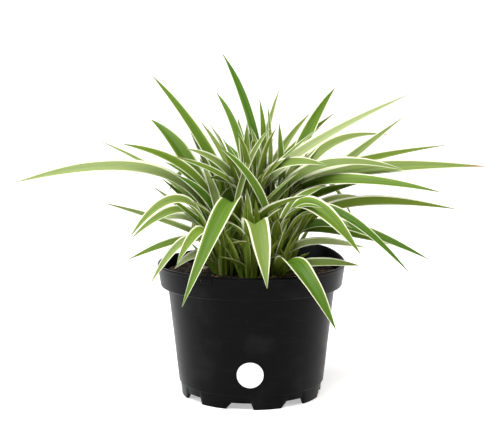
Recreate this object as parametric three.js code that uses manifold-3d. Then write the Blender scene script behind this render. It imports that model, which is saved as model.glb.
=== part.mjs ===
// A spider plant in a black nursery pot, drawn in millimetres with +Z up.
// The origin is the centre of the pot's foot, on the surface that it stands on; +X is to the right
// and -Y is towards the viewer, who sees the small round label.
//
// The pieces are the moulded pot, the potting mix that fills it, a blank round paper label, and seven
// crowns. A crown is one growing point: a short stem set in a hole in the mix, with its leaves.
import * as THREE from 'three';
import { mergeVertices } from 'three/addons/utils/BufferGeometryUtils.js';
import Module from 'manifold-3d';

const wasm = await Module();
wasm.setup();

// ---- Driving dimensions ------------------------------------------------------------------------
const RIM_DIAMETER = 154; // a six inch pot
const POT_HEIGHT = 109;
const FOOT_DIAMETER = 117;
const WALL = 1.4;
const BAND_HEIGHT = 18.5; // the upright band under the rim
const BAND_DRAFT = 2.6; // how much the band narrows downwards, in radius
const LEDGE = 5.8; // how far the band stands out from the body
const SKIRT_HEIGHT = 11.5; // the foot ring under the fine ledge
const SKIRT_STEP = 0.9;
const FLOOR_HEIGHT = 6.5;
const DRAIN_COUNT = 8;
const DRAIN_TURN = -8; // degrees from the front to the first drain
const NOTCH_HEIGHT = 5.4;
const NOTCH_WIDTH = 16; // at its top
const NOTCH_SLANTS = { left: 5, right: 2 }; // how much wider it is at the foot, on each side
const NOTCH_DEPTH = 8; // how far in from the foot's outside it reaches
const HOLE_RADIUS = 3.5; // the round hole in the floor, beside each notch
const HOLE_INSET = 14; // its centre, in from the foot's outside
const TAG = { turn: -27, width: 10, height: 4.2, thickness: 2.2 }; // its turn is from the front
const POT_SIDES = 48;
const GAP = 0.3; // clearance between pieces that touch

const MIX_LEVEL = 98; // the potting mix beside the wall
const MIX_MOUND = 4; // how much higher it is in the middle
const MIX_SIDES = POT_SIDES / 2; // its corners stand at every second corner of the pot
const STEM_RADIUS = 10;
const STEM_DEPTH = 14; // how deep a crown stands in the mix
const NECK_RADIUS = 7.5; // the close-packed leaf bases above it
const NECK_POINT = 11; // the point on top of them

const LABEL_DIAMETER = 21;
const LABEL_HEIGHT = 29.5; // its centre above the foot
const LABEL_THICKNESS = 0.4;

const LEAF_THICKNESS = 0.8;
const LEAF_ROOT = 5; // a leaf's root, from its crown's axis
const LEAF_ROOT_HEIGHT = 100;
const LEAF_FOLD = 40; // how far each half is folded up at the root, in degrees
const LEAF_OPENING = 22; // how much of that fold is gone at the tip
const LEAF_STEPS = 6;

const RIM_RADIUS = RIM_DIAMETER / 2;
const FOOT_RADIUS = FOOT_DIAMETER / 2;
const BAND_FOOT = POT_HEIGHT - BAND_HEIGHT;
const BODY_TOP_RADIUS = RIM_RADIUS - BAND_DRAFT - LEDGE;

// ---- Colours -----------------------------------------------------------------------------------
const finish = (color, roughness) => new THREE.MeshStandardMaterial({ color, roughness, metalness: 0 });
const BLACK_PLASTIC = finish(0x1c1c1e, 0.42);
const POTTING_MIX = finish(0x2c1d17, 0.95);
const LEAF_GREEN = finish(0x6f9a35, 0.45);
const WHITE_PAPER = finish(0xf4f4f2, 0.5);

// ---- Solids ------------------------------------------------------------------------------------
function solid(geometry) {
  const g = geometry.index ? geometry.clone() : mergeVertices(geometry);
  g.deleteAttribute('normal');
  g.deleteAttribute('uv');
  const merged = mergeVertices(g, 1e-4);
  const made = new wasm.Manifold(new wasm.Mesh({
    numProp: 3,
    vertProperties: merged.attributes.position.array,
    triVerts: new Uint32Array(merged.index.array),
  }));
  return made;
}

function node(name, made, material) {
  const mesh = made.getMesh();
  const geometry = new THREE.BufferGeometry();
  geometry.setAttribute('position', new THREE.BufferAttribute(mesh.vertProperties, 3));
  geometry.setIndex(new THREE.BufferAttribute(mesh.triVerts, 1));
  geometry.computeVertexNormals();
  const piece = new THREE.Mesh(geometry, material);
  piece.name = name;
  return piece;
}

// A closed profile of [radius, height] points, counter-clockwise, turned about Z.
function turned(profile, sides) {
  const points = [...profile, profile[0]].map(([r, z]) => new THREE.Vector2(r, z));
  return solid(new THREE.LatheGeometry(points, sides).rotateX(Math.PI / 2));
}

const aboutZ = (geometry, degrees) => geometry.rotateZ(THREE.MathUtils.degToRad(degrees));

// ---- The pot -----------------------------------------------------------------------------------
// The body's outside radius at height z, above the skirt.
const bodySlope = (BODY_TOP_RADIUS - FOOT_RADIUS) / BAND_FOOT;
const bodyRadius = (z) => FOOT_RADIUS + bodySlope * z;
const bandRadius = (z) => RIM_RADIUS - BAND_DRAFT * (POT_HEIGHT - z) / BAND_HEIGHT;

function makePot() {
  const skirtTop = SKIRT_HEIGHT - 0.5;
  const wall = turned([
    [FOOT_RADIUS - 2.2 * WALL, 0],
    [FOOT_RADIUS - SKIRT_STEP, 0],
    [bodyRadius(skirtTop) - SKIRT_STEP, skirtTop],
    [bodyRadius(SKIRT_HEIGHT), SKIRT_HEIGHT],
    [BODY_TOP_RADIUS, BAND_FOOT],
    [bandRadius(BAND_FOOT) - 0.8, BAND_FOOT],
    [bandRadius(BAND_FOOT), BAND_FOOT + 1],
    [RIM_RADIUS - 0.5, POT_HEIGHT - 1.6],
    [RIM_RADIUS, POT_HEIGHT - 0.9],
    [RIM_RADIUS - 0.4, POT_HEIGHT],
    [RIM_RADIUS - 1.7, POT_HEIGHT],
    [RIM_RADIUS - 2, POT_HEIGHT - 1],
    [bandRadius(BAND_FOOT) - WALL, BAND_FOOT + WALL],
    [BODY_TOP_RADIUS - WALL, BAND_FOOT + WALL],
    [bodyRadius(FLOOR_HEIGHT + 3) - WALL, FLOOR_HEIGHT + 3],
    [bodyRadius(FLOOR_HEIGHT) - 3 * WALL, FLOOR_HEIGHT + WALL],
    [0, FLOOR_HEIGHT + WALL],
    [0, FLOOR_HEIGHT],
    [FOOT_RADIUS - 3 * WALL, FLOOR_HEIGHT],
  ], POT_SIDES);
  // A notch under the floor and a round hole beside it, at each drain.
  const half = NOTCH_WIDTH / 2, clear = 6;
  const notch = new THREE.Shape([
    new THREE.Vector2(-half - NOTCH_SLANTS.right, -1),
    new THREE.Vector2(half + NOTCH_SLANTS.left, -1),
    new THREE.Vector2(half, NOTCH_HEIGHT),
    new THREE.Vector2(-half, NOTCH_HEIGHT),
  ]);
  let pot = wall;
  for (let i = 0; i < DRAIN_COUNT; i++) {
    const turn = DRAIN_TURN + (360 / DRAIN_COUNT) * i;
    const cut = new THREE.ExtrudeGeometry(notch, { depth: NOTCH_DEPTH + clear, bevelEnabled: false });
    cut.rotateX(Math.PI / 2).rotateZ(Math.PI).translate(0, NOTCH_DEPTH - FOOT_RADIUS, 0);
    pot = pot.subtract(solid(aboutZ(cut, turn)));
    const hole = new THREE.CylinderGeometry(HOLE_RADIUS, HOLE_RADIUS, 4 * WALL, 8).rotateX(Math.PI / 2);
    hole.translate(0, HOLE_INSET - FOOT_RADIUS, FLOOR_HEIGHT + WALL / 2);
    pot = pot.subtract(solid(aboutZ(hole, turn)));
  }
  // The small moulded tag on the band, left of the front.
  const tag = new THREE.BoxGeometry(TAG.width, TAG.thickness, TAG.height);
  tag.translate(0, 0.9 - RIM_RADIUS, POT_HEIGHT - 1.5 - TAG.height / 2);
  return pot.add(solid(aboutZ(tag, TAG.turn)));
}

// ---- The potting mix ---------------------------------------------------------------------------
const CROWNS = {
  left_front: { at: [-21, -22], neck: 46 },
  front: { at: [-1, -35], neck: 46 },
  right_front: { at: [20, -25], neck: 46 },
  left_back: { at: [-27, 12], neck: 48 },
  right_back: { at: [25, 12], neck: 52 },
  middle: { at: [-1, 1], neck: 62 },
  back: { at: [0, 31], neck: 46 },
};

function mixHeight(x, y) {
  const spread = Math.min(1, Math.hypot(x, y) / RIM_RADIUS);
  const lumps = Math.sin(x * 0.19 + 1) * Math.cos(y * 0.23) + 0.6 * Math.sin(x * 0.41 - y * 0.33);
  return MIX_LEVEL + MIX_MOUND * (1 - spread * spread) + 0.9 * lumps * (1 - spread ** 6);
}

function makeMix() {
  const inside = WALL + GAP;
  const top = POT_HEIGHT - 3;
  const body = turned([
    [0, FLOOR_HEIGHT + WALL + GAP],
    [bodyRadius(FLOOR_HEIGHT) - 3 * WALL - GAP, FLOOR_HEIGHT + WALL + GAP],
    [bodyRadius(FLOOR_HEIGHT + 3) - inside, FLOOR_HEIGHT + 3 + GAP],
    [BODY_TOP_RADIUS - inside, BAND_FOOT + WALL + GAP],
    [bandRadius(BAND_FOOT) - inside, BAND_FOOT + WALL + GAP],
    [RIM_RADIUS - 2.2 - GAP, top],
    [0, top],
  ], MIX_SIDES);
  // Everything above the lumpy surface is cut away.
  const rings = 4, sides = MIX_SIDES;
  const points = [new THREE.Vector3(0, 0, mixHeight(0, 0))];
  for (let i = 1; i <= rings; i++) {
    for (let j = 0; j < sides; j++) {
      const r = (RIM_RADIUS + 2) * (i / rings), a = (2 * Math.PI * j) / sides;
      const x = r * Math.cos(a), y = r * Math.sin(a);
      points.push(new THREE.Vector3(x, y, mixHeight(x, y)));
    }
  }
  const surface = points.length;
  for (let j = 0; j < sides; j++) {
    const edge = points[1 + (rings - 1) * sides + j];
    points.push(new THREE.Vector3(edge.x, edge.y, POT_HEIGHT + 10));
  }
  points.push(new THREE.Vector3(0, 0, POT_HEIGHT + 10));
  const at = (i, j) => (i === 0 ? 0 : 1 + (i - 1) * sides + (j % sides));
  const faces = [];
  for (let j = 0; j < sides; j++) {
    faces.push(0, at(1, j + 1), at(1, j));
    for (let i = 1; i < rings; i++) {
      faces.push(at(i, j), at(i, j + 1), at(i + 1, j + 1), at(i, j), at(i + 1, j + 1), at(i + 1, j));
    }
    const a = at(rings, j), b = at(rings, j + 1), c = surface + j, d = surface + ((j + 1) % sides);
    faces.push(a, b, d, a, d, c, c, d, points.length - 1);
  }
  const above = new THREE.BufferGeometry().setFromPoints(points).setIndex(faces);
  let mix = body.subtract(solid(above));
  for (const { at: [x, y] } of Object.values(CROWNS)) {
    const depth = STEM_DEPTH + GAP, floor = mixHeight(x, y) - depth;
    const hole = new THREE.CylinderGeometry(STEM_RADIUS + GAP, STEM_RADIUS + GAP, 40, 10);
    mix = mix.subtract(solid(hole.rotateX(Math.PI / 2).translate(x, y, floor + 20)));
  }
  return mix;
}

// ---- The leaves --------------------------------------------------------------------------------
// One line for each leaf, listed by its crown. It holds the heading, reach and height of the tip,
// the heading, reach and height of the middle, the width, and the roll, with the left edge up.
// A heading is in degrees from +X towards +Y and a reach in millimetres, both from the crown's
// axis. A height is from the surface under the pot.
const LEAVES = {
  left_front: [
    [21, 39, 219, 27, 15, 175, 6, 60],
    [252, 96, 95, 283, 23, 163, 19, 0],
    [205, 80, 138, 205, 34, 162, 13, -40],
    [192, 78, 117, 192, 20, 130, 12, -35],
    [212, 67, 102, 212, 30, 133, 10, -40],
    [190, 41, 108, 190, 18, 118, 12, -40],
    [190, 57, 174, 190, 5, 127, 12, -30],
    [198, 10, 120, 198, 5, 110, 11, -20],
    [250, 30, 150, 250, 10, 135, 12, 10],
    [225, 38, 165, 225, 8, 140, 13, -20],
    [170, 40, 182, 170, 9, 150, 13, -30],
    [235, 62, 120, 235, 26, 140, 13, -20],
    [150, 24, 195, 150, 7, 150, 12, -20],
  ],
  front: [
    [281, 66, 106, 279, 23, 148, 22, 0],
    [338, 49, 170, 338, 5, 144, 13, -35],
    [212, 22, 158, 212, 7, 138, 10, -20],
    [110, 8, 172, 110, 4, 138, 9, 0],
    [310, 12, 156, 310, 4, 133, 10, 10],
    [330, 30, 160, 330, 9, 138, 10, 20],
    [225, 30, 150, 225, 9, 135, 10, -15],
  ],
  right_front: [
    [176, 45, 204, 176, 13, 162, 13, -35],
    [299, 88, 75, 286, 47, 117, 22, -10],
    [345, 67, 113, 345, 28, 112, 12, 40],
    [352, 71, 126, 352, 20, 126, 13, 35],
    [330, 74, 125, 330, 23, 159, 20, 35],
    [340, 108, 111, 340, 33, 157, 13, 35],
    [350, 21, 150, 350, 5, 112, 11, 30],
    [290, 23, 148, 290, 5, 112, 10, 30],
    [320, 45, 160, 320, 12, 148, 13, 20],
    [270, 22, 150, 270, 7, 130, 11, 0],
    [20, 42, 172, 20, 10, 150, 13, 25],
    [0, 60, 140, 0, 20, 150, 13, 30],
  ],
  left_back: [
    [190, 164, 176, 190, 43, 177, 19, -42],
    [160, 110, 205, 158, 25, 157, 8, -35],
    [202, 82, 207, 202, 15, 169, 16, -45],
    [148, 69, 223, 148, 24, 176, 18, -35],
    [154, 26, 213, 154, 5, 163, 12, -30],
    [186, 94, 157, 186, 14, 126, 12, -30],
    [215, 82, 134, 215, 30, 150, 12, -40],
    [172, 53, 141, 172, 17, 137, 12, -35],
    [185, 54, 170, 185, 5, 123, 10, -30],
    [191, 47, 177, 191, 5, 131, 13, -35],
    [128, 72, 160, 128, 30, 174, 15, -10],
    [108, 78, 122, 108, 38, 162, 15, 5],
    [178, 45, 190, 178, 9, 155, 13, -30],
  ],
  right_back: [
    [96, 18, 221, 89, 6, 168, 8, 10],
    [345, 122, 114, 345, 34, 138, 15, 35],
    [355, 100, 120, 355, 17, 132, 12, 35],
    [350, 142, 154, 350, 40, 150, 18, -45],
    [30, 82, 156, 30, 30, 146, 13, 30],
    [340, 132, 170, 340, 19, 167, 18, 35],
    [357, 166, 187, 3, 17, 167, 22, 46],
    [20, 155, 200, 31, 13, 165, 14, 35],
    [32, 127, 223, 39, 13, 146, 15, 35],
    [42, 135, 206, 42, 33, 187, 15, 25],
    [50, 86, 217, 50, 5, 167, 14, 35],
    [62, 106, 248, 58, 18, 182, 14, 40],
    [345, 65, 174, 345, 6, 146, 16, 38],
    [350, 60, 175, 350, 14, 160, 14, 35],
    [55, 80, 175, 55, 22, 175, 14, 20],
    [25, 50, 190, 25, 10, 160, 12, 25],
    [48, 100, 130, 48, 42, 170, 14, 20],
  ],
  middle: [
    [162, 85, 260, 164, 29, 183, 14, -40],
    [129, 45, 246, 105, 13, 186, 10, -40],
    [135, 32, 278, 51, 14, 192, 12, -40],
    [150, 47, 222, 150, 8, 161, 11, -30],
    [205, 36, 223, 205, 11, 168, 11, -30],
    [220, 34, 217, 220, 5, 149, 10, -20],
    [120, 46, 207, 120, 5, 157, 10, -20],
    [200, 54, 203, 200, 12, 169, 15, -45],
    [218, 74, 199, 218, 5, 159, 14, -45],
    [13, 137, 245, 25, 8, 168, 15, 40],
    [50, 115, 226, 50, 13, 165, 11, 40],
    [58, 99, 226, 58, 26, 173, 10, 40],
    [345, 60, 221, 345, 5, 160, 11, 30],
    [340, 65, 190, 340, 12, 175, 16, 40],
    [325, 47, 185, 325, 5, 141, 13, 30],
    [66, 19, 241, 36, 15, 179, 8, 10],
    [38, 18, 237, 13, 18, 172, 11, 0],
    [103, 11, 222, 144, 5, 168, 10, 0],
    [86, 5, 219, 6, 10, 169, 9, 20],
    [214, 40, 180, 214, 5, 159, 16, -45],
    [0, 126, 184, 0, 41, 178, 18, 35],
    [110, 30, 225, 110, 7, 165, 12, 0],
  ],
  back: [
    [41, 32, 249, 51, 12, 179, 7, 30],
    [102, 11, 218, 110, 3, 164, 7, 0],
    [35, 70, 175, 35, 16, 165, 13, 20],
    [150, 70, 180, 150, 16, 165, 13, -20],
    [112, 60, 200, 112, 12, 165, 13, 0],
    [68, 55, 205, 68, 12, 168, 13, 0],
    [170, 40, 165, 170, 10, 150, 13, -20],
    [10, 40, 165, 10, 10, 150, 13, 20],
    [100, 84, 150, 100, 38, 185, 15, 0],
    [82, 86, 128, 82, 42, 178, 15, 0],
    [128, 92, 105, 128, 48, 160, 15, 0],
    [64, 90, 112, 64, 44, 165, 15, 0],
    [92, 68, 108, 92, 36, 148, 14, 0],
  ],
};

const DEG = Math.PI / 180;
const smooth = (t) => t * t * (3 - 2 * t);

// A blade along a curve from the crown through its middle to its tip. It is folded in a shallow V
// along the midrib, grows to full width half way up and narrows to a point.
function leafSolid([cx, cy], [tipHeading, tipReach, tipHeight, heading, reach, height, width, roll]) {
  const place = (turn, out, up) => new THREE.Vector3(
    cx + out * Math.cos(turn * DEG), cy + out * Math.sin(turn * DEG), up);
  const root = place(heading, LEAF_ROOT, LEAF_ROOT_HEIGHT);
  const middle = place(heading, reach, height);
  const tip = place(tipHeading, tipReach, tipHeight);
  // The control point that takes the curve through the middle.
  const pull = middle.multiplyScalar(2).addScaledVector(root, -0.5).addScaledVector(tip, -0.5);
  const curve = new THREE.QuadraticBezierCurve3(root, pull, tip);
  const swing = THREE.MathUtils.euclideanModulo(tipHeading - heading + 180, 360) - 180;

  const corners = [];
  for (let i = 0; i <= LEAF_STEPS; i++) {
    const t = i / LEAF_STEPS;
    const along = curve.getTangent(t);
    const turn = (heading + swing * t * t) * DEG;
    const left = new THREE.Vector3(-Math.sin(turn), Math.cos(turn), 0);
    left.addScaledVector(along, -left.dot(along)).normalize();
    left.applyAxisAngle(along, roll * DEG * t * (2 - t));
    const face = new THREE.Vector3().crossVectors(along, left);
    const half = Math.max(0.3, 0.5 * width * (0.45 + 0.55 * smooth(Math.min(1, 2 * t))) * (1 - t ** 5));
    const fold = (LEAF_FOLD - LEAF_OPENING * t) * DEG;
    for (const depth of [0, LEAF_THICKNESS]) {
      for (const u of [-1, 0, 1]) {
        corners.push(curve.getPoint(t)
          .addScaledVector(left, half * Math.cos(fold) * u)
          .addScaledVector(face, half * Math.sin(fold) * Math.abs(u) - depth));
      }
    }
  }
  // Around the section: right edge, midrib and left edge on top, then the same underneath.
  const around = [0, 1, 2, 5, 4, 3];
  const faces = [];
  for (let i = 0; i < LEAF_STEPS; i++) {
    for (let k = 0; k < 6; k++) {
      const a = 6 * i + around[k], b = 6 * i + around[(k + 1) % 6];
      // Both faces of the blade are split the same way.
      if (k === 0 || k === 4) faces.push(a, b + 6, b, a, a + 6, b + 6);
      else faces.push(a, a + 6, b, b, a + 6, b + 6);
    }
  }
  for (const [a, b] of [[0, 1], [1, 2]]) {
    const end = 6 * LEAF_STEPS;
    faces.push(a, b + 3, a + 3, a, b, b + 3);
    faces.push(end + a, end + a + 3, end + b + 3, end + a, end + b + 3, end + b);
  }
  return solid(new THREE.BufferGeometry().setFromPoints(corners).setIndex(faces));
}

// ---- The crowns --------------------------------------------------------------------------------
function makeCrown({ at: [x, y], neck }, leaves) {
  const top = mixHeight(x, y);
  const stem = turned([
    [0, top - STEM_DEPTH],
    [STEM_RADIUS - 2, top - STEM_DEPTH],
    [STEM_RADIUS, top - STEM_DEPTH + 3],
    [STEM_RADIUS, top],
    [NECK_RADIUS, top + neck],
    [0, top + neck + NECK_POINT],
  ], 10).translate([x, y, 0]);
  const fused = leaves.reduce((crown, leaf) => crown.add(leafSolid([x, y], leaf)), stem);
  // Small hollows that the leaves close off between them are filled, and loose scraps go.
  return fused.decompose().reduce((a, b) => (a.volume() > b.volume() ? a : b));
}

// ---- The label ---------------------------------------------------------------------------------
// A disc of thin paper that follows the body's slope.
function makeLabel() {
  const half = LABEL_DIAMETER / 2 + 1;
  const low = LABEL_HEIGHT - half, high = LABEL_HEIGHT + half;
  const sheet = turned([
    [bodyRadius(low) + GAP, low],
    [bodyRadius(low) + GAP + LABEL_THICKNESS, low],
    [bodyRadius(high) + GAP + LABEL_THICKNESS, high],
    [bodyRadius(high) + GAP, high],
  ], POT_SIDES);
  const disc = new THREE.CylinderGeometry(LABEL_DIAMETER / 2, LABEL_DIAMETER / 2, RIM_RADIUS, 32);
  return sheet.intersect(solid(disc.translate(-1, -RIM_RADIUS / 2, LABEL_HEIGHT)));
}

// ---- The whole ---------------------------------------------------------------------------------
const plant = new THREE.Group();
plant.add(node('pot', makePot(), BLACK_PLASTIC));
plant.add(node('potting_mix', makeMix(), POTTING_MIX));
plant.add(node('round_label', makeLabel(), WHITE_PAPER));
for (const [name, crown] of Object.entries(CROWNS)) {
  plant.add(node(`crown_${name}`, makeCrown(crown, LEAVES[name]), LEAF_GREEN));
}
export default plant;
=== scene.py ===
import bmesh
import bpy
import numpy as np
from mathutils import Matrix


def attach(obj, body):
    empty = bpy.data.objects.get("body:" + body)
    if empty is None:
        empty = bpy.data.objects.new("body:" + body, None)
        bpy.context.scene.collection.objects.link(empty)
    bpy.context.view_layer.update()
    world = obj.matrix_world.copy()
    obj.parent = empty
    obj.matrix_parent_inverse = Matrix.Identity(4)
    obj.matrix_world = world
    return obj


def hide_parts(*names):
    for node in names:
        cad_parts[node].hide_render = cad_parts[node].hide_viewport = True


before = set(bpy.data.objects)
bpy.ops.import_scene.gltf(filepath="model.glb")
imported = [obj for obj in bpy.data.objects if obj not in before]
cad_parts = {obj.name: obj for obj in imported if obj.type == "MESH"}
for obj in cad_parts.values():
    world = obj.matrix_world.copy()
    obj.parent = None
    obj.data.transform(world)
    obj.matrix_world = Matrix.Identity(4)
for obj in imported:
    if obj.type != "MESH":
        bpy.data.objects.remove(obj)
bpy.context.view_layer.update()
scene = bpy.context.scene

# ---- Camera, lights and floor ------------------------------------------------------------------
# A studio shot: the camera stands about a metre in front of the pot, a little above the leaves,
# and looks slightly down. Soft boxes above and at the sides light a seamless pale floor.
MM = 0.001
EYE = np.array([-1.1, -965, 276])
LOOK_DOWN = 7.9  # degrees
LENS = 85.7  # focal length
ROOM_LIGHT = 0.05  # a faint even light from all round
FLOOR_REACH = 2600
WALL_START = 1300  # how far behind the pot the floor starts to bend up
WALL_BEND = 500  # the bend's radius

camera = bpy.data.objects.new("camera", bpy.data.cameras.new("camera"))
camera.data.lens = LENS
camera.location = EYE * MM
camera.rotation_euler = (np.radians(90 - LOOK_DOWN), 0, 0)
scene.collection.objects.link(camera)
scene.camera = camera


def soft_box(name, place, target, size, watts, colour=(1, 1, 1)):
    """A square area light at place, facing target."""
    light = bpy.data.objects.new(name, bpy.data.lights.new(name, "AREA"))
    light.data.size = size * MM
    light.data.energy = watts
    light.data.color = colour
    light.location = np.array(place) * MM
    facing = bpy.data.objects.new(name + "_target", None)
    facing.location = np.array(target) * MM
    track = light.constraints.new("TRACK_TO")
    track.target = facing
    track.track_axis, track.up_axis = "TRACK_NEGATIVE_Z", "UP_Y"
    scene.collection.objects.link(facing)
    scene.collection.objects.link(light)


# Each one's place, what it faces, its width and its power in watts. The left one is a little blue
# and the right one a little red.
soft_box("top_light", (-200, -500, 1350), (0, 0, 120), 1200, 32)
soft_box("left_light", (-1300, -250, 420), (0, 0, 100), 1100, 14, (0.88, 0.92, 1))
soft_box("right_light", (1300, -150, 420), (0, 0, 100), 900, 8, (1, 0.86, 0.82))

scene.world = bpy.data.worlds.new("studio")
scene.world.use_nodes = True
room = scene.world.node_tree.nodes["Background"]
room.inputs["Color"].default_value = (1, 1, 1, 1)
room.inputs["Strength"].default_value = ROOM_LIGHT
scene.view_settings.view_transform = "Standard"


def linear(red, green, blue):
    """A colour as it is seen, 0 to 255, as the linear one that shaders take, with alpha 1."""
    seen = np.array([red, green, blue]) / 255
    return (*np.where(seen < 0.04045, seen / 12.92, ((seen + 0.055) / 1.055) ** 2.4), 1.0)


class Wire:
    """A number in a shader. Arithmetic on it adds the Math nodes that work it out."""

    def __init__(self, shader, socket):
        self.shader, self.socket = shader, socket

    def math(self, operation, *values):
        return self.shader.add("Math", {"operation": operation}, dict(enumerate(values)))

    def __add__(self, other):
        return self.math("ADD", self, other)

    def __sub__(self, other):
        return self.math("SUBTRACT", self, other)

    def __rsub__(self, other):
        return self.math("SUBTRACT", other, self)

    def __mul__(self, other):
        return self.math("MULTIPLY", self, other)

    def __abs__(self):
        return self.math("ABSOLUTE", self)

    __radd__, __rmul__ = __add__, __mul__

    def sin(self):
        return self.math("SINE", self)

    def root(self):
        return self.math("SQRT", self)

    def ramp(self, low, high):
        """0 up to low, 1 from high on, and a smooth step between them."""
        return self.shader.add(
            "MapRange",
            {"interpolation_type": "SMOOTHSTEP"},
            {"Value": self, "From Min": low, "From Max": high},
        )


class Shader:
    """A material's nodes. add() makes a node: its type, its settings, then its sockets' inputs."""

    def __init__(self, name):
        self.material = bpy.data.materials.new(name)
        self.material.use_nodes = True
        self.tree = self.material.node_tree
        self.tree.nodes.clear()

    def add(self, kind, settings=None, inputs=None, output=0):
        node = self.tree.nodes.new("ShaderNode" + kind)
        for name, value in (settings or {}).items():
            setattr(node, name, value)
        for name, value in (inputs or {}).items():
            if isinstance(value, Wire):
                self.tree.links.new(value.socket, node.inputs[name])
            else:
                node.inputs[name].default_value = value
        return Wire(self, node.outputs[output]) if len(node.outputs) else None

    def mix(self, share, first, second, blend="MIX"):
        """first where share is 0 and second where it is 1; both are colours."""
        settings = {"data_type": "RGBA", "blend_type": blend}
        return self.add("Mix", settings, {0: share, 6: first, 7: second}, 2)

    def place(self, stretch=(1, 1, 1)):
        """Object coordinates in millimetres, times stretch."""
        spot = self.add("TexCoord", output="Object")
        scale = tuple(s / MM for s in stretch)
        return self.add("VectorMath", {"operation": "MULTIPLY"}, {0: spot, 1: scale})

    def noise(self, where, size, detail=3, roughness=0.55):
        """Cloudy noise from 0 to 1, with lumps about size across."""
        inputs = {"Vector": where, "Scale": 1 / size, "Detail": detail, "Roughness": roughness}
        return self.add("TexNoise", None, inputs)

    def bump(self, height, depth, strength=1.0):
        """The normal of a surface raised by depth millimetres where height is 1."""
        inputs = {"Height": height, "Distance": depth * MM, "Strength": strength}
        return self.add("Bump", None, inputs)

    def finish(self, **inputs):
        """The principled surface; an underscore in a name stands for a space."""
        named = {name.replace("_", " "): value for name, value in inputs.items()}
        return self.out(self.add("BsdfPrincipled", None, named))

    def out(self, surface):
        self.add("OutputMaterial", None, {"Surface": surface})
        return self.material


floor_shader = Shader("pale_floor")
floor_grain = floor_shader.noise(floor_shader.place(), 220)
floor_paint = floor_shader.finish(
    Base_Color=floor_shader.mix(floor_grain, linear(250, 250, 250), linear(246, 246, 247)),
    Roughness=0.9,
    Emission_Color=(1, 1, 1, 1),
    Emission_Strength=0.45,
)


def grid_faces(rows, columns, grids=1):
    """The quads of grids of points, each rows by columns and numbered row by row."""
    corner = np.arange(rows * columns).reshape(rows, columns)
    quads = np.stack([corner[:-1, :-1], corner[:-1, 1:], corner[1:, 1:], corner[1:, :-1]], -1)
    quads = quads.reshape(-1, 4)
    return (quads + rows * columns * np.arange(grids)[:, None, None]).reshape(-1, 4)


def mesh_object(name, points, faces, material, values=None, smooth=True):
    """An object from points in millimetres. Doubled points are merged, which closes seams and
    poles, and closed shells are turned to face outwards. values are each point's numbers, by
    name."""
    mesh = bpy.data.meshes.new(name)
    mesh.from_pydata((points.reshape(-1, 3) * MM).tolist(), [], faces.tolist())
    for key, numbers in (values or {}).items():
        attribute = mesh.attributes.new(key, "FLOAT", "POINT")
        attribute.data.foreach_set("value", np.ascontiguousarray(numbers, np.float32).ravel())
    work = bmesh.new()
    work.from_mesh(mesh)
    bmesh.ops.remove_doubles(work, verts=work.verts, dist=1e-6)
    bmesh.ops.recalc_face_normals(work, faces=work.faces)
    work.to_mesh(mesh)
    work.free()
    mesh.polygons.foreach_set("use_smooth", [smooth] * len(mesh.polygons))
    mesh.materials.append(material)
    made = bpy.data.objects.new(name, mesh)
    scene.collection.objects.link(made)
    return made


def seamless_floor():
    """A strip that runs back along the floor, bends up through a quarter circle and climbs."""
    bend = np.linspace(0, np.pi / 2, 24)
    curve = WALL_START + WALL_BEND * np.sin(bend)
    back = np.array([-FLOOR_REACH, *curve, WALL_START + WALL_BEND])[:, None]
    up = np.array([0, *(WALL_BEND * (1 - np.cos(bend))), FLOOR_REACH])[:, None]
    return np.stack(np.broadcast_arrays([-FLOOR_REACH, FLOOR_REACH], back, up), -1)


floor_points = seamless_floor()
floor = mesh_object("floor", floor_points, grid_faces(*floor_points.shape[:2]), floor_paint)

# ---- The pot -----------------------------------------------------------------------------------
# One moulding of black polypropylene with a satin skin, about 1.4 mm thick: a body that narrows to
# a foot ring with eight drain notches, a deep band under the rim, and a small tag on the band.
RIM_RADIUS = 77
POT_HEIGHT = 109
FOOT_RADIUS = 58.5
WALL = 1.4
BAND_FOOT = 90.5
BAND_DRAFT = 2.6  # how much the band narrows downwards
LEDGE = 5.8  # how far the band stands out from the body
LIP_DEPTH = 2.2  # how far down the rim's plain lip reaches
LIP_WIDTH = 1.9  # across its flat top
SKIRT_HEIGHT = 11.5  # where the fine ledge above the foot is
SKIRT_STEP = 0.9  # how far the foot is set back under it
FLOOR_HEIGHT = 6.5  # of the floor's underside
FRONT = -90  # where the front is, in degrees from +X towards +Y
NOTCHES = 8
NOTCH_HEIGHT = 5.4
NOTCH_HALF = 8  # half its width at the top
NOTCH_SLANT = 5  # how much wider it is at the foot, to the left
NOTCH_DRAFT = 2  # and to the right
NOTCH_TURN = -8  # degrees from the front to the first
HOLE_RADIUS = 3.5  # the round hole in the floor, beside each notch
HOLE_INSET = 14  # its centre, in from the foot's outside
RIM_WARP = 6.5  # the rim has sprung up a little at the back right
WARP_HEADING, WARP_SPREAD = 42, 28  # degrees
CRISP = 40  # an edge turned by more than this, in degrees, stays sharp
BODY_TOP_RADIUS = RIM_RADIUS - BAND_DRAFT - LEDGE


def body_radius(z):
    """The body's outside radius at a height: a cone from the foot to the band."""
    return FOOT_RADIUS + (BODY_TOP_RADIUS - FOOT_RADIUS) * z / BAND_FOOT


def band_radius(z):
    """The band's outside radius at a height."""
    return RIM_RADIUS - BAND_DRAFT * (POT_HEIGHT - z) / (POT_HEIGHT - BAND_FOOT)


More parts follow.
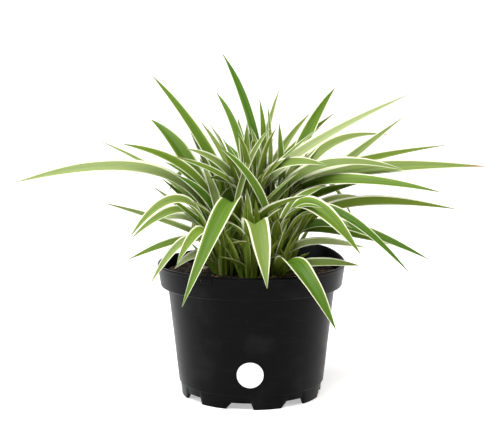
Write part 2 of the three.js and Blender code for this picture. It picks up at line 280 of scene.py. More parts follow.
def rounded(corners, steps=5):
    """An open outline of [radius, height, softening]. Each corner is cut back along both its sides
    by its softening, or by 0.45 of the side where that is less, and the cut is bridged by a
    parabola that has the corner as its control."""
    place, soft = np.array(corners, float)[:, :2], np.array(corners, float)[1:-1, 2:]
    corner = place[1:-1]
    ends = []
    for other in (place[:-2], place[2:]):
        side = other - corner
        length = np.linalg.norm(side, axis=1, keepdims=True)
        ends.append(corner + side * np.minimum(soft / length, 0.45))
    t = np.linspace(0, 1, steps)[:, None, None]
    curve = (1 - t) ** 2 * ends[0] + 2 * t * (1 - t) * corner + t**2 * ends[1]
    return np.concatenate([place[:1], curve.transpose(1, 0, 2).reshape(-1, 2), place[-1:]])


def turned(outline, angles):
    """Each [radius, height] of an outline carried round the pot's axis through the angles."""
    radius, height = outline.T[:, :, None]
    return np.stack([radius * np.cos(angles), radius * np.sin(angles), height + 0 * angles], -1)


def wrapped(degrees, round_trip=360):
    """An angle taken to within half a round trip of 0."""
    return (degrees + round_trip / 2) % round_trip - round_trip / 2


def notch_middles():
    """The angle of each notch, in a column."""
    return np.radians(NOTCH_TURN + FRONT + 360 / NOTCHES * np.arange(NOTCHES))[:, None]


def notch_lift(angles):
    """How high the foot's edge stands at each angle: a trapezoid at each notch, and 0 elsewhere."""
    turn = wrapped(np.degrees(angles) - FRONT - NOTCH_TURN, 360 / NOTCHES)
    along = np.radians(turn) * FOOT_RADIUS
    left = (along + NOTCH_HALF + NOTCH_SLANT) / NOTCH_SLANT
    right = (NOTCH_HALF + NOTCH_DRAFT - along) / NOTCH_DRAFT
    return NOTCH_HEIGHT * np.clip(np.minimum(left, right), 0, 1)


def pot_angles():
    """Even steps round the pot, with extra ones at the corners of the notches, ends meeting."""
    marks = np.array([-NOTCH_HALF - NOTCH_SLANT, -NOTCH_HALF, NOTCH_HALF, NOTCH_HALF + NOTCH_DRAFT])
    extra = (notch_middles() + marks / FOOT_RADIUS).ravel() % (2 * np.pi)
    return np.unique(np.concatenate([np.linspace(0, 2 * np.pi, 217), extra]))


def pot_points():
    """The pot's outline turned about Z, from the underside of its floor round the foot, up outside,
    over the rim and down inside. The foot is lifted at the notches. The rim is warped by a bell
    curve at the back right and by two slight waves round it."""
    skirt_top, lip_foot = SKIRT_HEIGHT - 0.5, POT_HEIGHT - LIP_DEPTH
    outline = rounded([
        [0, FLOOR_HEIGHT, 0],
        [FOOT_RADIUS - 3 * WALL, FLOOR_HEIGHT, 0.8],
        [FOOT_RADIUS - 2.2 * WALL, 0, 0.3],
        [FOOT_RADIUS - SKIRT_STEP, 0, 0.4],
        [body_radius(skirt_top) - SKIRT_STEP, skirt_top, 0.3],
        [body_radius(SKIRT_HEIGHT), SKIRT_HEIGHT, 0.3],
        [BODY_TOP_RADIUS, BAND_FOOT, 1.2],
        [band_radius(BAND_FOOT), BAND_FOOT, 1.4],
        [band_radius(lip_foot), lip_foot, 0.3],
        [RIM_RADIUS, lip_foot + 0.4, 0.3],
        [RIM_RADIUS, POT_HEIGHT, 0.7],
        [RIM_RADIUS - LIP_WIDTH, POT_HEIGHT, 0.6],
        [band_radius(BAND_FOOT) - WALL, BAND_FOOT + WALL, 1.5],
        [BODY_TOP_RADIUS - WALL, BAND_FOOT + WALL, 1],
        [body_radius(FLOOR_HEIGHT) - 1.6 * WALL, FLOOR_HEIGHT + WALL, 3],
        [0, FLOOR_HEIGHT + WALL, 0],
    ])
    angles = pot_angles()
    points = turned(outline, angles)
    z = points[..., 2]
    z += notch_lift(angles) * np.clip(1 - z / FLOOR_HEIGHT, 0, 1)
    high = np.clip((z - BAND_FOOT) / (POT_HEIGHT - BAND_FOOT), 0, 1) ** 2
    back_right = np.exp(-((wrapped(np.degrees(angles)) - WARP_HEADING) / WARP_SPREAD) ** 2)
    z += high * (RIM_WARP * back_right + 0.25 * np.sin(3 * angles + 1) + 0.15 * np.sin(7 * angles))
    return points


def pot_plastic():
    """Satin black plastic: scuffs, dust in faint patches, and fine lines that run round it."""
    shader = Shader("pot_plastic")
    spot = shader.place()
    cloud = shader.noise(spot, 34, 4)
    scuff = shader.noise(shader.place((0.25, 0.25, 1)), 5, 5, 0.7).ramp(0.5, 0.75)
    lines = shader.noise(shader.place((0.02, 0.02, 1)), 1.6, 2)
    grain = shader.noise(spot, 0.5, 2)
    dust = shader.mix(cloud.ramp(0.5, 0.75), linear(3, 3, 3), linear(20, 19, 21))
    return shader.finish(
        Base_Color=shader.mix(scuff * 0.2, dust, linear(34, 31, 30)),
        Roughness=cloud * 0.24 + scuff * 0.1 + 0.2,
        Specular_IOR_Level=0.055,
        Normal=shader.bump(lines * 0.7 + grain * 0.3, 0.12, 0.5),
    )


def peg_points():
    """Closed upright pegs through the pot's floor, one beside each notch."""
    low, high = FLOOR_HEIGHT - WALL, FLOOR_HEIGHT + 2 * WALL
    outline = np.array([[0, low], [HOLE_RADIUS, low], [HOLE_RADIUS, high], [0, high]])
    turns = notch_middles()
    centres = (FOOT_RADIUS - HOLE_INSET) * np.hstack([np.cos(turns), np.sin(turns), 0 * turns])
    return turned(outline, np.linspace(0, 2 * np.pi, 25)) + centres[:, None, None]


def drill(piece, points):
    """Cuts closed grids of points out of a piece, and keeps the edges of the holes crisp."""
    faces = grid_faces(*points.shape[1:3], len(points))
    pegs = mesh_object(piece.name + "_pegs", points, faces, piece.data.materials[0])
    cut = piece.modifiers.new("cut", "BOOLEAN")
    cut.object, cut.solver = pegs, "EXACT"
    graph = bpy.context.evaluated_depsgraph_get()
    piece.data = bpy.data.meshes.new_from_object(piece.evaluated_get(graph))
    piece.data.set_sharp_from_angle(angle=np.radians(CRISP))
    piece.modifiers.clear()
    bpy.data.objects.remove(pegs)


black_plastic = pot_plastic()
points = pot_points()
pot = mesh_object("pot_shell", points, grid_faces(*points.shape[:2]), black_plastic)
drill(pot, peg_points())
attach(pot, "root")
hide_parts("pot")

TAG_TURN = -27  # degrees from the front
TAG_HALF = 5  # half its width
TAG_FOOT, TAG_TOP = 103.3, 107.5
TAG_RAISE = 0.9


def tag_points():
    """A patch of the band, raised evenly and falling to below the skin round its edge."""
    edge = np.array([0, 0, 0.06, 0.12, 0.5, 0.88, 0.94, 1, 1])
    skirt = np.array([-1.2, 0.6, 0.9, 1, 1, 1, 0.9, 0.6, -1.2]) * TAG_RAISE
    along, up = np.meshgrid(edge * 2 - 1, edge)
    height = TAG_FOOT + up * (TAG_TOP - TAG_FOOT)
    out = band_radius(height) + np.minimum(*np.meshgrid(skirt, skirt))
    angle = np.radians(TAG_TURN + FRONT) + along * TAG_HALF / RIM_RADIUS
    return np.stack([out * np.cos(angle), out * np.sin(angle), height], -1)


points = tag_points()
tag = mesh_object("band_tag", points, grid_faces(*points.shape[:2]), black_plastic)
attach(tag, "root")

# ---- The potting mix ---------------------------------------------------------------------------
# Dark composted bark and peat, filled to about a centimetre under the rim and mounded a little
# towards the crowns. Its surface is crumbly, with loose chips of bark, a few fibres and a pebble.
GAP = 0.3  # between the mix and the pot
MIX_LEVEL = 98
MIX_MOUND = 4
MIX_LUMPS = 0.9  # height of its gentle lumps
MIX_RIM = band_radius(MIX_LEVEL) - WALL - GAP
CRUMB = 1.5  # height of the crumbs
# The width of the waves that make the crumbs, how many there are and their share of the height.
CRUMB_WAVES = ((9, 5, 0.45), (4.2, 7, 0.35), (2.1, 9, 0.2))


def mix_height(x, y):
    """The surface of the mix: a low mound with gentle lumps that die out at the wall."""
    spread = np.minimum(1, np.hypot(x, y) / RIM_RADIUS)
    lumps = np.sin(x * 0.19 + 1) * np.cos(y * 0.23) + 0.6 * np.sin(x * 0.41 - y * 0.33)
    return MIX_LEVEL + MIX_MOUND * (1 - spread**2) + MIX_LUMPS * lumps * (1 - spread**6)


def crumbs(x, y):
    """Crossing folded waves of three widths, in random directions, from 0 to about 1."""
    draw = np.random.default_rng(11)
    total = 0
    for width, count, share in CRUMB_WAVES:
        turn, shift = draw.uniform(0, 2 * np.pi, (2, count))
        for a, s in zip(turn, shift):
            wave = np.sin((x * np.cos(a) + y * np.sin(a)) * np.pi / width + s + np.sin(y / width))
            total = total + share / count * (1 - abs(wave)) * 2
    return total


def mix_points():
    """Rings from the middle out to the wall, on the crumbly surface, then down the wall and back
    under along the pot's floor."""
    angles = np.linspace(0, 2 * np.pi, 289)
    radius = np.linspace(0, 1, 86)[:, None] ** 0.8 * MIX_RIM
    x, y = radius * np.cos(angles), radius * np.sin(angles)
    rough = CRUMB * crumbs(x, y) * np.clip((MIX_RIM - radius) / 2, 0, 1)
    top = np.stack([x, y, mix_height(x, y) + rough], -1)
    under = BAND_FOOT + WALL + GAP
    low = FLOOR_HEIGHT + WALL + GAP
    bend = low + 3
    sides = turned(np.array([
        [band_radius(under) - WALL - GAP, under],
        [body_radius(under) - WALL - GAP, under],
        [body_radius(bend) - WALL - GAP, bend],
        [body_radius(low) - 3 * WALL, low],
        [0, low],
    ]), angles)
    return np.concatenate([top, sides])


def bark_mix():
    """Damp bark: near-black hollows, red-brown crumbs and a few tan flecks, all painted darker than
    the bark's own colour as shade from the leaves above. The near-black of the hollows, where the
    bump dips, is partly painted shade.
    """
    shader = Shader("potting_mix")
    spot = shader.place()
    lump = shader.noise(spot, 5, 5, 0.7)
    fleck = shader.noise(spot, 1.3, 3, 0.7)
    # painted shade: these browns are darker than the bark's own, and darkest where the bump dips
    dark = shader.mix(lump.ramp(0.35, 0.7), linear(10, 7, 5), linear(42, 25, 19))
    return shader.finish(
        Base_Color=shader.mix(fleck.ramp(0.62, 0.72) * 0.7, dark, linear(132, 96, 70)),
        Roughness=0.92,
        Normal=shader.bump(lump * 0.6 + fleck * 0.4, 1.4),
    )


bark_and_painted_shade = bark_mix()
points = mix_points()
mix = mesh_object("mix_surface", points, grid_faces(*points.shape[:2]), bark_and_painted_shade)
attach(mix, "root")
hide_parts("potting_mix")

CHIPS = 620
CHIP_HALF = 1.2, 3.6  # half length, before up to half is broken off
CHIP_THICK = 0.25, 0.8  # half thickness
CHIP_TIP = 0.35  # how far they tip up, in radians
CHIP_SEAT = 0.25  # how far their middles stand above the crumbs


def chip_points(draw):
    """Flat slabs of bark with six bent corners on each face, strewn at random, some tipped up."""
    turn = np.linspace(0, 2 * np.pi, 7)[:-1] + draw.uniform(-0.25, 0.25, (CHIPS, 6))
    length = draw.uniform(*CHIP_HALF, (CHIPS, 1)) * draw.uniform(0.5, 1, (CHIPS, 1))
    width = length * draw.uniform(0.35, 0.8, (CHIPS, 1))
    thick = draw.uniform(*CHIP_THICK, (CHIPS, 1))
    ring = np.stack([length * np.cos(turn), width * np.sin(turn), 0 * turn], -1)
    ring = ring * draw.uniform(0.8, 1.1, (CHIPS, 6, 1))
    rise = np.stack([0 * thick, 0 * thick, thick], -1)
    grids = np.stack([0 * ring - rise * 0.8, ring * 0.85 - rise, ring + rise * 0.4,
                      ring * 0.7 + rise, 0 * ring + rise * 1.1], 1)
    grids = np.concatenate([grids, grids[:, :, :1]], 2)
    yaw, tip = draw.uniform(0, 2 * np.pi, CHIPS), draw.normal(0, CHIP_TIP, CHIPS)
    c, s, ct, st = np.cos(yaw), np.sin(yaw), np.cos(tip), np.sin(tip)
    zero = np.zeros(CHIPS)
    spin = np.array([[c, -s, zero], [s, c, zero], [zero, zero, zero + 1]])
    lean = np.array([[ct, zero, st], [zero, zero + 1, zero], [-st, zero, ct]])
    grids = np.einsum("ijn,jkn,nrck->nrci", spin, lean, grids)
    reach = (MIX_RIM - 4) * np.sqrt(draw.uniform(0.02, 1, CHIPS))
    heading = draw.uniform(0, 2 * np.pi, CHIPS)
    x, y = reach * np.cos(heading), reach * np.sin(heading)
    seat = np.stack([x, y, mix_height(x, y) + CRUMB * crumbs(x, y) + CHIP_SEAT], -1)
    return grids + seat[:, None, None]


def chip_bark():
    """Broken bark, from near black to tan by chip, with grain along each piece."""
    shader = Shader("bark_chips")
    tone = shader.add("Attribute", {"attribute_name": "tone"}, output="Fac")
    grain = shader.noise(shader.place(), 0.9, 4, 0.7)
    brown = shader.mix(tone.ramp(0.0, 0.8), linear(34, 21, 17), linear(98, 62, 46))
    pale = shader.mix(tone.ramp(0.86, 0.97), brown, linear(176, 140, 104))
    return shader.finish(
        Base_Color=shader.mix(grain, pale, linear(20, 13, 11), "MULTIPLY"),
        Roughness=0.85,
        Normal=shader.bump(grain, 0.5),
    )


draw = np.random.default_rng(5)
points = chip_points(draw)
tones = np.broadcast_to(draw.uniform(0, 1, CHIPS)[:, None, None], points.shape[:3])
faces = grid_faces(*points.shape[1:3], CHIPS)
chips = mesh_object("bark_chips", points, faces, chip_bark(), {"tone": tones}, smooth=False)
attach(chips, "root")

PEBBLE_PLACE = -37.5, 2
PEBBLE_HALF = 2.6  # half its length
PEBBLE_SQUASH = 0.75, 0.6  # its width and height, as shares of its length


def pebble_points():
    """A sphere made longer than wide and squashed, with a gentle dent along one side."""
    turn, rise = np.meshgrid(np.linspace(0, 2 * np.pi, 25), np.linspace(-np.pi / 2, np.pi / 2, 15))
    x, y = PEBBLE_PLACE
    width, height = PEBBLE_SQUASH
    bulge = PEBBLE_HALF * (1 + 0.1 * np.sin(2 * turn + 0.6) * np.cos(rise) ** 2)
    right = bulge * np.cos(rise) * np.cos(turn)
    back = width * bulge * np.cos(rise) * np.sin(turn)
    up = height * bulge * np.sin(rise)
    return np.stack([x + right, y + back, mix_height(x, y) + CRUMB + up], -1)


def pebble_stone():
    """Pale sandstone with soft mottling."""
    shader = Shader("pebble")
    mottle = shader.noise(shader.place(), 1.5, 4)
    return shader.finish(
        Base_Color=shader.mix(mottle, linear(208, 192, 170), linear(150, 132, 112)),
        Roughness=0.7,
        Normal=shader.bump(mottle, 0.3),
    )


points = pebble_points()
pebble = mesh_object("pebble", points, grid_faces(*points.shape[:2]), pebble_stone())
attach(pebble, "root")

FIBRES = 26
FIBRE_HALF = 3, 9  # half length
FIBRE_THICK = 0.2, 0.4  # radius


def fibre_points(draw):
    """Thin five-sided strands laid in shallow arcs on the mix, tapering at both ends."""
    t = np.linspace(-1, 1, 11)[:, None]
    around = np.linspace(0, 2 * np.pi, 6)
    length = draw.uniform(*FIBRE_HALF, (FIBRES, 1, 1))
    bend = draw.uniform(-0.5, 0.5, (FIBRES, 1, 1)) * length
    thick = draw.uniform(*FIBRE_THICK, (FIBRES, 1, 1)) * (1.02 - t**2)
    yaw = draw.uniform(0, 2 * np.pi, (FIBRES, 1, 1))
    reach = (MIX_RIM - 10) * np.sqrt(draw.uniform(0.05, 1, (FIBRES, 1, 1)))
    heading = draw.uniform(0, 2 * np.pi, (FIBRES, 1, 1))
    ahead = length * t + thick * 0
    aside = bend * t**2 + thick * np.cos(around)
    x = reach * np.cos(heading) + ahead * np.cos(yaw) - aside * np.sin(yaw)
    y = reach * np.sin(heading) + ahead * np.sin(yaw) + aside * np.cos(yaw)
    return np.stack([x, y, mix_height(x, y) + CRUMB * 0.9 + thick * np.sin(around)], -1)


def dry_fibre():
    """Straw-coloured root fibre."""
    shader = Shader("fibre")
    streak = shader.noise(shader.place(), 2.5, 3)
    return shader.finish(
        Base_Color=shader.mix(streak, linear(150, 112, 74), linear(196, 160, 112)), Roughness=0.8
    )


points = fibre_points(draw)
faces = grid_faces(*points.shape[1:3], FIBRES)
fibres = mesh_object("fibres", points, faces, dry_fibre())
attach(fibres, "root")

# ---- The leaves --------------------------------------------------------------------------------
# Long thin straps in seven crowns, each folded in a shallow V along its midrib and arching out to
# a fine point: mid-green, with fine parallel veins and a narrow cream margin along both edges.

# One line for each crown: its axis in the pot, how high its young leaves stand, and the seed of
# what is drawn at random.
CROWNS = {
    "left_front": (-21, -22, 164, 53256),
    "front": (-1, -35, 150, 34263),
    "right_front": (20, -25, 164, 3526),
    "left_back": (-27, 12, 196, 33580),
    "right_back": (25, 12, 208, 42833),
    "middle": (-1, 1, 226, 4365),
    "back": (0, 31, 184, 13736),
}
# One line for each leaf: the heading, reach and height of its tip, the same of its middle, its
# width, and its roll, with the left edge up. A heading is in degrees from +X towards +Y, and a
# reach is from the crown's axis.
LEAVES = {
    "left_front": [
        (21, 39, 219, 27, 15, 175, 6, 60),
        (252, 96, 95, 283, 23, 163, 19, 0),
        (205, 80, 138, 205, 34, 162, 13, -40),
        (192, 78, 117, 192, 20, 130, 12, -35),
        (212, 67, 102, 212, 30, 133, 10, -40),
        (190, 41, 108, 190, 18, 118, 12, -40),
        (190, 57, 174, 190, 5, 127, 12, -30),
        (198, 10, 120, 198, 5, 110, 11, -20),
        (250, 30, 150, 250, 10, 135, 12, 10),
        (225, 38, 165, 225, 8, 140, 13, -20),
        (170, 40, 182, 170, 9, 150, 13, -30),
        (235, 62, 120, 235, 26, 140, 13, -20),
        (150, 24, 195, 150, 7, 150, 12, -20),
    ],
    "front": [
        (281, 66, 106, 279, 23, 148, 22, 0),
        (338, 49, 170, 338, 5, 144, 13, -35),
        (212, 22, 158, 212, 7, 138, 10, -20),
        (110, 8, 172, 110, 4, 138, 9, 0),
        (310, 12, 156, 310, 4, 133, 10, 10),
        (330, 30, 160, 330, 9, 138, 10, 20),
        (225, 30, 150, 225, 9, 135, 10, -15),
    ],
    "right_front": [
        (176, 45, 204, 176, 13, 162, 13, -35),
        (299, 88, 75, 286, 47, 117, 22, -10),
        (345, 67, 113, 345, 28, 112, 12, 40),
        (352, 71, 126, 352, 20, 126, 13, 35),
        (330, 74, 125, 330, 23, 159, 20, 35),
        (340, 108, 111, 340, 33, 157, 13, 35),
        (350, 21, 150, 350, 5, 112, 11, 30),
        (290, 23, 148, 290, 5, 112, 10, 30),
        (320, 45, 160, 320, 12, 148, 13, 20),
        (270, 22, 150, 270, 7, 130, 11, 0),
        (20, 42, 172, 20, 10, 150, 13, 25),
        (0, 60, 140, 0, 20, 150, 13, 30),
    ],
    "left_back": [
        (190, 164, 176, 190, 43, 177, 19, -42),
        (160, 110, 205, 158, 25, 157, 8, -35),
        (202, 82, 207, 202, 15, 169, 16, -45),
        (148, 69, 223, 148, 24, 176, 18, -35),
        (154, 26, 213, 154, 5, 163, 12, -30),
        (186, 94, 157, 186, 14, 126, 12, -30),
        (215, 82, 134, 215, 30, 150, 12, -40),
        (172, 53, 141, 172, 17, 137, 12, -35),
        (185, 54, 170, 185, 5, 123, 10, -30),
        (191, 47, 177, 191, 5, 131, 13, -35),
        (128, 72, 160, 128, 30, 174, 15, -10),
        (108, 78, 122, 108, 38, 162, 15, 5),
        (178, 45, 190, 178, 9, 155, 13, -30),
    ],
    "right_back": [
        (96, 18, 221, 89, 6, 168, 8, 10),
        (345, 122, 114, 345, 34, 138, 15, 35),
        (355, 100, 120, 355, 17, 132, 12, 35),
        (350, 142, 154, 350, 40, 150, 18, -45),
        (30, 82, 156, 30, 30, 146, 13, 30),
        (340, 132, 170, 340, 19, 167, 18, 35),
        (357, 166, 187, 3, 17, 167, 22, 46),
        (20, 155, 200, 31, 13, 165, 14, 35),
        (32, 127, 223, 39, 13, 146, 15, 35),
        (42, 135, 206, 42, 33, 187, 15, 25),
        (50, 86, 217, 50, 5, 167, 14, 35),
        (62, 106, 248, 58, 18, 182, 14, 40),
        (345, 65, 174, 345, 6, 146, 16, 38),
        (350, 60, 175, 350, 14, 160, 14, 35),
        (55, 80, 175, 55, 22, 175, 14, 20),
        (25, 50, 190, 25, 10, 160, 12, 25),
        (48, 100, 130, 48, 42, 170, 14, 20),
    ],
    "middle": [
        (162, 85, 260, 164, 29, 183, 14, -40),
        (129, 45, 246, 105, 13, 186, 10, -40),
        (135, 32, 278, 51, 14, 192, 12, -40),
        (150, 47, 222, 150, 8, 161, 11, -30),
        (205, 36, 223, 205, 11, 168, 11, -30),
        (220, 34, 217, 220, 5, 149, 10, -20),
        (120, 46, 207, 120, 5, 157, 10, -20),
        (200, 54, 203, 200, 12, 169, 15, -45),
        (218, 74, 199, 218, 5, 159, 14, -45),
        (13, 137, 245, 25, 8, 168, 15, 40),
        (50, 115, 226, 50, 13, 165, 11, 40),
        (58, 99, 226, 58, 26, 173, 10, 40),
        (345, 60, 221, 345, 5, 160, 11, 30),
        (340, 65, 190, 340, 12, 175, 16, 40),
        (325, 47, 185, 325, 5, 141, 13, 30),
        (66, 19, 241, 36, 15, 179, 8, 10),
        (38, 18, 237, 13, 18, 172, 11, 0),
        (103, 11, 222, 144, 5, 168, 10, 0),
        (86, 5, 219, 6, 10, 169, 9, 20),
        (214, 40, 180, 214, 5, 159, 16, -45),
        (0, 126, 184, 0, 41, 178, 18, 35),
        (110, 30, 225, 110, 7, 165, 12, 0),
    ],
    "back": [
        (41, 32, 249, 51, 12, 179, 7, 30),
        (102, 11, 218, 110, 3, 164, 7, 0),
        (35, 70, 175, 35, 16, 165, 13, 20),
        (150, 70, 180, 150, 16, 165, 13, -20),
        (112, 60, 200, 112, 12, 165, 13, 0),
        (68, 55, 205, 68, 12, 168, 13, 0),
        (170, 40, 165, 170, 10, 150, 13, -20),
        (10, 40, 165, 10, 10, 150, 13, 20),
        (100, 84, 150, 100, 38, 185, 15, 0),
        (82, 86, 128, 82, 42, 178, 15, 0),
        (128, 92, 105, 128, 48, 160, 15, 0),
        (64, 90, 112, 64, 44, 165, 15, 0),
        (92, 68, 108, 92, 36, 148, 14, 0),
    ],
}
LEAF_RING = 5  # how far from the crown's axis a leaf's root is
LEAF_FOOT = 100  # the height of its root, just under the surface of the mix
LEAF_FOLD = 40  # how far each half is folded up at the root, in degrees
LEAF_OPENING = 22  # how much of that is gone at the tip
LEAF_THICK, EDGE_THICK = 0.6, 0.25
BASE_WIDTH = 0.45  # a leaf's width at the root, as a share of its full width
TIP_HALF = 0.25  # half its width at the very tip
FLUTTER = 6  # how far the tip is twisted to and fro, in degrees
SWAY = 0.016  # how far the blade winds from side to side, as a share of its reach
WAVER = 0.03  # how far its edges waver, as a share of its width
BLADE_STEPS = 32
# Where a section's points lie, from the right edge to the left, closer together at the margins.
ACROSS = np.array([-1, -0.93, -0.78, -0.5, -0.2, 0, 0.2, 0.5, 0.78, 0.93, 1])
GROWN, HEART, SHEATH = 0, 0.5, 1  # three kinds of leaf, by the number that the skin reads
YOUNG_LEAVES = 14  # in each crown's heart, inside the grown ones
YOUNG_REACH, YOUNG_WIDTH = (8, 32), (7, 11)
SHEATHS = 15  # short leaf bases round each crown's foot
SHEATH_RING = 7.5
SHEATH_REACH, SHEATH_HEIGHT, SHEATH_WIDTH = (9, 18), (134, 172), (6, 9.5)
SHEATH_SPREAD = 14  # how much further those at the left and right reach


def unit(vectors):
    """The vectors, each divided by its length."""
    return vectors / np.linalg.norm(vectors, axis=-1, keepdims=True)


def smooth_step(t):
    """From 0 to 1 with level ends: 3 t^2 - 2 t^3."""
    return t * t * (3 - 2 * t)


def blade_points(at, rows, draw, root_reach):
    """Each leaf as a closed shell round a parabola that runs from its root beside the crown's axis,
    through its middle, to its tip. The blade is square to the parabola, turned by its roll and a
    slight flutter. Its half width grows from the base's to the full one by half way and falls as
    1 - t^5. Its section is a shallow V with a rounded keel and slightly arched halves."""
    numbers = rows.T[:, :, None, None]
    tip_turn, tip_reach, tip_height, turn, reach, height, width, roll = numbers

    def polar(turn, out, up):
        """A point out from the crown's axis, at a heading and a height."""
        turn = np.radians(turn)
        return np.concatenate([at[0] + out * np.cos(turn), at[1] + out * np.sin(turn), up], -1)

    root = polar(turn, root_reach, LEAF_FOOT + 0 * turn)
    middle, tip = polar(turn, reach, height), polar(tip_turn, tip_reach, tip_height)
    pull = 2 * middle - (root + tip) / 2
    t = np.linspace(0, 1, BLADE_STEPS + 1)[:, None]
    curve = (1 - t) ** 2 * root + 2 * t * (1 - t) * pull + t**2 * tip
    along = unit((1 - t) * (pull - root) + t * (tip - pull))
    facing = np.radians(turn + wrapped(tip_turn - turn) * t**2)
    left = np.concatenate([-np.sin(facing), np.cos(facing), 0 * facing], -1)
    left = unit(left - along * np.sum(left * along, -1, keepdims=True))
    start, pace, sway = draw.uniform(0, 1, (3, len(rows), 1, 1))
    flutter = FLUTTER * t * np.sin(2 * np.pi * (start + t * (0.8 + pace)))
    spin = np.radians(roll * t * (2 - t) + flutter)
    left = left * np.cos(spin) + np.cross(along, left) * np.sin(spin)
    face = np.cross(along, left)
    curve = curve + left * (sway - 0.5) * SWAY * tip_reach * np.sin(2 * np.pi * t)
    share = BASE_WIDTH + (1 - BASE_WIDTH) * smooth_step(np.minimum(1, 2 * t))
    half = 0.5 * width * share * (1 - t**5)
    half = np.maximum(TIP_HALF, half * (1 + WAVER * np.sin(2 * np.pi * (3 * t + pace))))
    fold = np.radians(LEAF_FOLD - LEAF_OPENING * t)

    u = np.concatenate([ACROSS, ACROSS[::-1], ACROSS[:1]])
    under = np.concatenate([0 * ACROSS, 1 + 0 * ACROSS, [0]])
    keel = (np.sqrt(u**2 + 0.02) - 0.14) / 0.87  # |u|, rounded at the midrib
    lift = half * np.sin(fold) * keel + 0.05 * half * np.sin(np.pi * abs(u))
    thick = LEAF_THICK + (EDGE_THICK - LEAF_THICK) * abs(u)
    thick = thick * under * np.minimum(1, half / 2)
    section = left[:, :, None] * (half * np.cos(fold) * u)[..., None]
    section = section + face[:, :, None] * (lift - thick)[..., None]
    shell = curve[:, :, None] + section
    first = curve[:, :1, None] + 0 * section[:, :1]
    last = (curve + LEAF_THICK * along)[:, -1:, None] + 0 * section[:, :1]
    return np.concatenate([first, shell, last], 1), u, under


def blade_values(shape, u, under, shades, kinds, draw):
    """What the leaf's skin reads: where a point lies along and across its blade, whether it is on
    the underside, and its leaf's shade, kind and how much further its tip has dried."""
    leaves, steps = shape[:2]
    along = np.clip(np.linspace(-1, steps - 2, steps) / BLADE_STEPS, 0, 1)[:, None]
    dry = draw.uniform(-0.04, 0.03, (leaves, 1, 1))
    values = {"across": u, "along": along, "under": under, "dry": dry,
              "shade": shades[:, None, None], "young": kinds[:, None, None]}
    return {name: np.broadcast_to(value, shape[:3]) for name, value in values.items()}


def young_rows(draw, high):
    """Leaves still growing in a crown's heart: steep, narrow and of any heading. They rise to 0.7
    to 1.06 of the way from their feet to high, less half their reach. Their middles stay near the
    axis, 0.55 to 0.8 of the way up."""
    count = YOUNG_LEAVES
    heading = draw.uniform(0, 360, count)
    reach = draw.uniform(*YOUNG_REACH, count)
    height = LEAF_FOOT + (high - LEAF_FOOT) * draw.uniform(0.7, 1.06, count) - 0.5 * reach
    middle = LEAF_FOOT + (height - LEAF_FOOT) * draw.uniform(0.55, 0.8, count)
    tip_heading = heading + draw.uniform(-20, 20, count)
    width, roll = draw.uniform(*YOUNG_WIDTH, count), draw.uniform(-25, 25, count)
    return np.array([tip_heading, reach, height, heading, 4 + reach * 0.22, middle, width, roll]).T


def sheath_rows(draw):
    """Slim leaf bases at even steps round a crown's foot, a little uneven, that lean outwards in a
    fan. Their middles are about 0.4 of the way out and 0.53 of the way up."""
    count = SHEATHS
    heading = np.arange(count) * 360 / count + draw.uniform(-14, 14, count)
    reach = draw.uniform(*SHEATH_REACH, count) + SHEATH_SPREAD * np.cos(np.radians(heading)) ** 2
    height = draw.uniform(*SHEATH_HEIGHT, count) - 0.4 * reach
    out = SHEATH_RING + (reach - SHEATH_RING) * draw.uniform(0.34, 0.46, count)
    middle = LEAF_FOOT + (height - LEAF_FOOT) * 0.53
    tip_heading = heading + draw.uniform(-25, 25, count)
    width, roll = draw.uniform(*SHEATH_WIDTH, count), draw.uniform(-30, 30, count)
    return np.array([tip_heading, reach, height, heading, out, middle, width, roll]).T


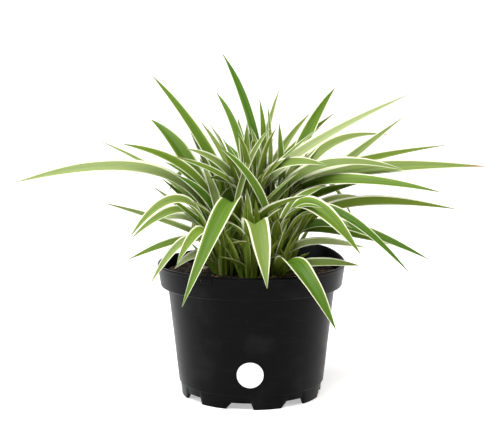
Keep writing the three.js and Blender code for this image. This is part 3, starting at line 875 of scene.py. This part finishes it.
def leaf_skin():
    """Glossy leaf, deep green to pale by its shade, streaked by its veins and lighter towards the
    edges, with cream margins whose inner edge wavers. Middling shades are greyed, partly as their
    own tone and partly as painted sheen. It is olive beneath and yellow-green at the base, and its
    tip has dried straw-brown, most on the few that have faded. Leaves in the heart are painted
    darker, as shade among the leaves round them, and leaf bases are yellower."""
    shader = Shader("leaf")
    across, along, under, shade, dry, young = (
        shader.add("Attribute", {"attribute_name": name}, output="Fac")
        for name in ("across", "along", "under", "shade", "dry", "young")
    )
    edge = abs(across)
    drawn = shader.add("CombineXYZ", None, {"X": across * 7, "Y": along * 2.2, "Z": shade * 60})
    streak = shader.add("TexNoise", None, {"Vector": drawn, "Scale": 1.0, "Detail": 4.0})
    slow = shader.add("CombineXYZ", None, {"X": across, "Y": along * 5, "Z": shade * 90})
    patch = shader.add("TexNoise", None, {"Vector": slow, "Scale": 1.0, "Detail": 2.0})
    veins = (across * 46).sin() * 0.5 + 0.5

    streaks = streak.ramp(0.3, 0.7)
    deep = shader.mix(streaks, linear(40, 82, 8), linear(68, 110, 18))
    fair = shader.mix(streaks, linear(97, 124, 32), linear(134, 156, 60))
    green = shader.mix(shade.ramp(0.0, 0.7), deep, fair)
    green = shader.mix(veins * 0.15, green, linear(134, 166, 54))
    lighter = (edge.ramp(0.45, 0.8) + patch.ramp(0.5, 0.8) * 0.5) * 0.4
    green = shader.mix(lighter, green, linear(118, 150, 42))
    # leaves of middling shade are greyed: partly their own tone, partly a painted sheen
    green = shader.mix(shade.ramp(0.5, 0.62) * 0.6, green, linear(120, 140, 70))
    green = shader.mix(shade.ramp(0.7, 1.0) * 0.9, green, linear(186, 197, 142))
    # painted shade: leaves in the heart are darkened as if shaded by the leaves round them; the
    # leaf bases' yellower green is their own
    inner = shader.mix(young.ramp(HEART, SHEATH), linear(48, 70, 0), linear(106, 128, 34))
    green = shader.mix(young.ramp(GROWN, HEART) * 0.6, green, inner)
    green = shader.mix(along.ramp(0.02, 0.35), linear(108, 126, 34), green)
    below = shader.mix(streak, linear(86, 108, 20), linear(116, 138, 38))
    green = shader.mix(under, green, below)
    faded = shade.ramp(0.95, 0.97) * abs(young * 2 - 1)  # none in the heart
    green = shader.mix(faded * 0.7, green, linear(206, 204, 148))

    inner_edge = edge + (streak - 0.5) * 0.1 + (patch - 0.5) * 0.12 + shade * shade * 0.2
    margin = inner_edge.ramp(0.83, 0.9) * along.ramp(0.05, 0.45) * (1 - young * 0.6)
    cream = shader.mix(young, linear(240, 242, 210), linear(206, 214, 128))
    colour = shader.mix(margin * 0.94, green, cream)
    dried = (along + dry + faded * 0.1 - 1).ramp(-0.02, 0.03)
    straw = shader.mix(streak, linear(150, 104, 60), linear(204, 168, 112))
    colour = shader.mix(dried, colour, straw)
    rough = 0.42 + under * 0.15 + streak * 0.08
    ridges = shader.bump(veins * 0.6 + streak * 0.4, 0.16, 0.6)
    gloss = shader.add("BsdfPrincipled", None, {
        "Base Color": colour, "Roughness": rough, "Specular IOR Level": 0.22, "Normal": ridges})
    glow = shader.add("BsdfTranslucent", None, {"Color": linear(150, 176, 50)})
    return shader.out(shader.add("MixShader", None, {"Fac": 0.12, 1: gloss, 2: glow}))


skin = leaf_skin()
for name, (x, y, high, seed) in CROWNS.items():
    draw = np.random.default_rng(seed)
    counts = len(LEAVES[name]), YOUNG_LEAVES, SHEATHS
    shades = draw.uniform(0, 1, sum(counts))
    rows = np.concatenate([LEAVES[name], young_rows(draw, high), sheath_rows(draw)])
    roots = np.repeat([LEAF_RING, LEAF_RING, SHEATH_RING], counts)[:, None, None]
    points, u, under = blade_points((x, y), rows, draw, roots)
    kinds = np.repeat([GROWN, HEART, SHEATH], counts)
    values = blade_values(points.shape, u, under, shades, kinds, draw)
    faces = grid_faces(*points.shape[1:3], len(rows))
    leaves = mesh_object("leaves_" + name, points, faces, skin, values)
    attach(leaves, "root")
    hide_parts("crown_" + name)

# ---- The label ---------------------------------------------------------------------------------
# A round label of smooth white paper, 21 mm across, stuck to the wall low at the front. It is bare
# but for a thin printed ring near its edge.
LABEL_CENTRE = (-1, 29.5)  # its x and height
RING_RADIUS = 9.3
RING_HALF = 0.14  # half the width of the printed line


def label_paper():
    """Smooth white paper with a faint tooth and a thin grey-green ring near its edge."""
    shader = Shader("label_paper")
    spot = shader.place()
    parts = [shader.add("SeparateXYZ", None, {"Vector": spot}, axis) for axis in ("X", "Z")]
    x, z = parts[0] - LABEL_CENTRE[0], parts[1] - LABEL_CENTRE[1]
    radius = (x * x + z * z).root()
    ring = 1 - abs(radius - RING_RADIUS).ramp(RING_HALF, RING_HALF * 2)
    tooth = shader.noise(spot, 0.4, 2)
    return shader.finish(
        Base_Color=shader.mix(ring, linear(248, 248, 247), linear(150, 168, 156)),
        Roughness=0.4,
        Normal=shader.bump(tooth, 0.03, 0.4),
    )


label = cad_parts["round_label"]
label.material_slots[0].material = label_paper()
